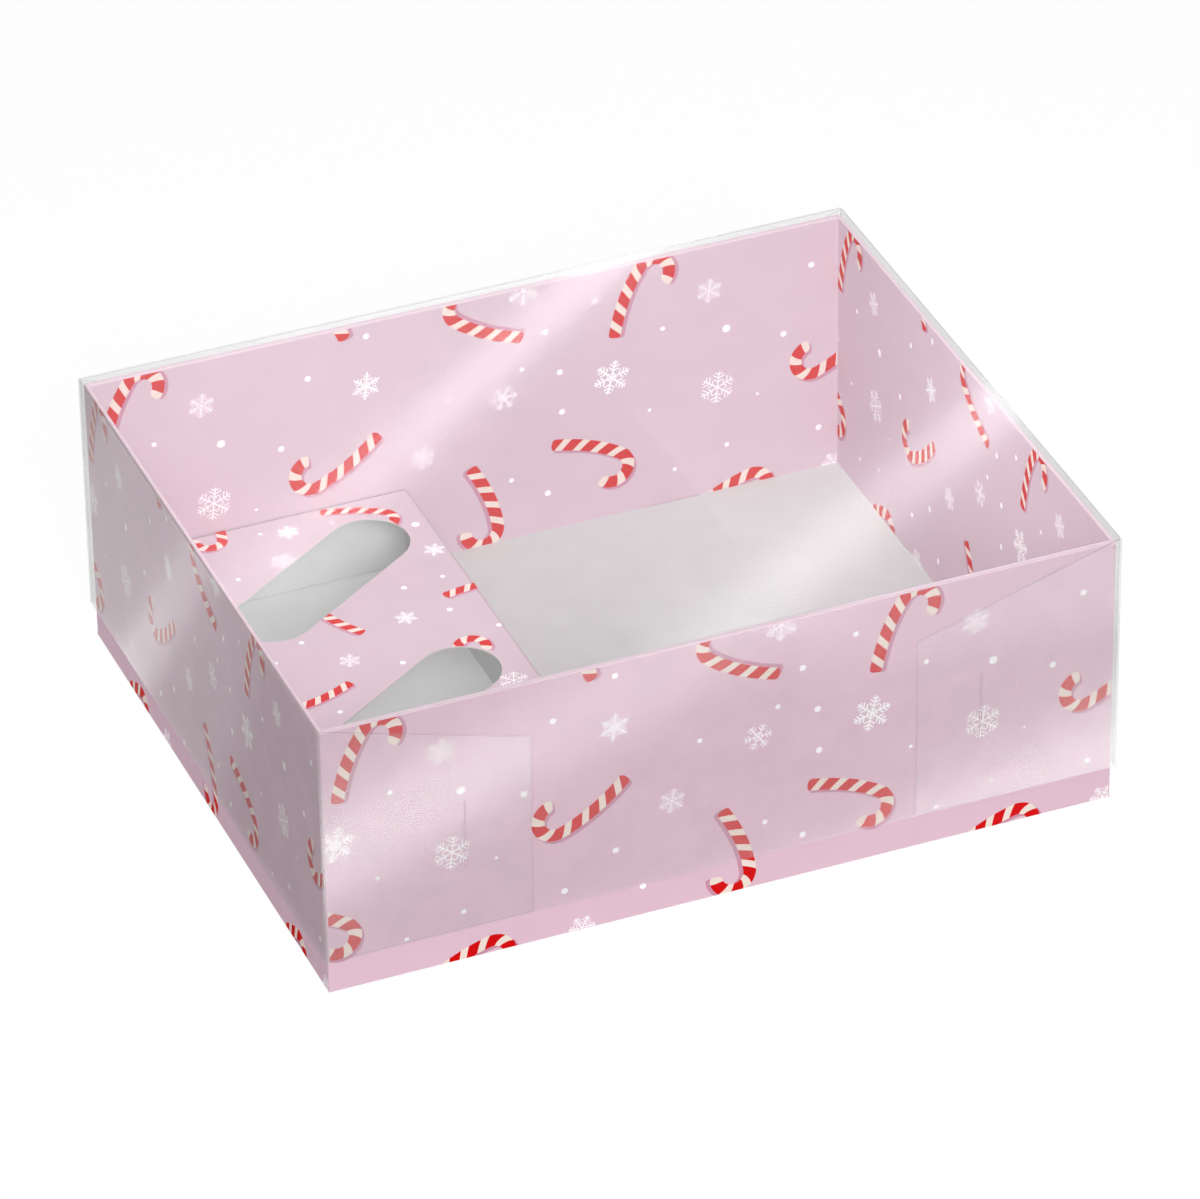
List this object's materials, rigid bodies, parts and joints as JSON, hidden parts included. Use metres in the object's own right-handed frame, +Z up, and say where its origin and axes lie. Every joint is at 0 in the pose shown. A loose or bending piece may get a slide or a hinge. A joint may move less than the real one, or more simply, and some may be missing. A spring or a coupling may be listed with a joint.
{
  "type": "cake box",
  "caption": "Low rectangular cake box: rolled-wall carton tray, lift-out platform with slanted round-ended slots, and a lift-off lid of frosted clear film.",
  "frame": {"origin": "middle of the tray's underside, on the surface that the box stands on", "axes": "+X along the long side, away from the insert; +Y towards the back; +Z up"},
  "size_m": [0.24, 0.195, 0.0885],
  "materials": {
    "printed_board": "folding carton board, offset printed and varnished",
    "bare_board": "unprinted grey-white back of folding carton board",
    "frosted_film": "thin clear PET film with a light frost, creased and die cut"
  },
  "bodies": {
    "tray": {"tray_base": "bare_board", "tray_front_outer": "printed_board", "tray_back_outer": "printed_board", "tray_left_outer": "printed_board", "tray_right_outer": "printed_board", "tray_front_inner": "printed_board", "tray_back_inner": "printed_board", "tray_left_inner": "printed_board", "tray_right_inner": "printed_board", "tray_tab_front_left": "printed_board", "tray_tab_front_right": "printed_board", "tray_tab_back_left": "printed_board", "tray_tab_back_right": "printed_board"},
    "insert": {"insert_top": "printed_board", "insert_right_leg": "printed_board", "insert_left_leg": "printed_board", "insert_front_leg": "printed_board", "insert_back_leg": "printed_board"},
    "lid": {"lid_top": "frosted_film"},
    "front_panel": {"lid_front": "frosted_film"},
    "back_panel": {"lid_back": "frosted_film"},
    "left_panel": {"lid_left": "frosted_film", "lid_flap_front_left": "frosted_film", "lid_flap_back_left": "frosted_film"},
    "right_panel": {"lid_right": "frosted_film", "lid_flap_front_right": "frosted_film", "lid_flap_back_right": "frosted_film"},
    "front_left_tongue": {"lid_tongue_front_left": "frosted_film"},
    "front_right_tongue": {"lid_tongue_front_right": "frosted_film"},
    "back_left_tongue": {"lid_tongue_back_left": "frosted_film"},
    "back_right_tongue": {"lid_tongue_back_right": "frosted_film"}
  },
  "joints": [
    {"name": "lid_lift", "type": "slide", "parent": "tray", "child": "lid", "axis": [0, 0, 1], "range_m": [0, 0.1]},
    {"name": "insert_lift", "type": "slide", "parent": "tray", "child": "insert", "axis": [0, 0, 1], "range_m": [0, 0.058]},
    {"name": "lid_front_fold", "type": "hinge", "parent": "lid", "child": "front_panel", "pos_m": [0, -0.09735, 0.0882], "axis": [-1, 0, 0], "range_deg": [0, 90]},
    {"name": "lid_back_fold", "type": "hinge", "parent": "lid", "child": "back_panel", "pos_m": [0, 0.09735, 0.0882], "axis": [1, 0, 0], "range_deg": [0, 90]},
    {"name": "lid_left_fold", "type": "hinge", "parent": "lid", "child": "left_panel", "pos_m": [-0.11985, 0, 0.0882], "axis": [0, 1, 0], "range_deg": [0, 90]},
    {"name": "lid_right_fold", "type": "hinge", "parent": "lid", "child": "right_panel", "pos_m": [0.11985, 0, 0.0882], "axis": [0, -1, 0], "range_deg": [0, 90]},
    {"name": "front_left_tongue_flex", "type": "hinge", "parent": "front_panel", "child": "front_left_tongue", "pos_m": [-0.058, -0.09735, 0.0427], "axis": [0, 0, 1], "range_deg": [0, 60], "stiffness_Nm_per_rad": 0.0005},
    {"name": "front_right_tongue_flex", "type": "hinge", "parent": "front_panel", "child": "front_right_tongue", "pos_m": [0.058, -0.09735, 0.0427], "axis": [0, 0, -1], "range_deg": [0, 60], "stiffness_Nm_per_rad": 0.0005},
    {"name": "back_left_tongue_flex", "type": "hinge", "parent": "back_panel", "child": "back_left_tongue", "pos_m": [-0.058, 0.09735, 0.0427], "axis": [0, 0, -1], "range_deg": [0, 60], "stiffness_Nm_per_rad": 0.0005},
    {"name": "back_right_tongue_flex", "type": "hinge", "parent": "back_panel", "child": "back_right_tongue", "pos_m": [0.058, 0.09735, 0.0427], "axis": [0, 0, 1], "range_deg": [0, 60], "stiffness_Nm_per_rad": 0.0005}
  ]
}
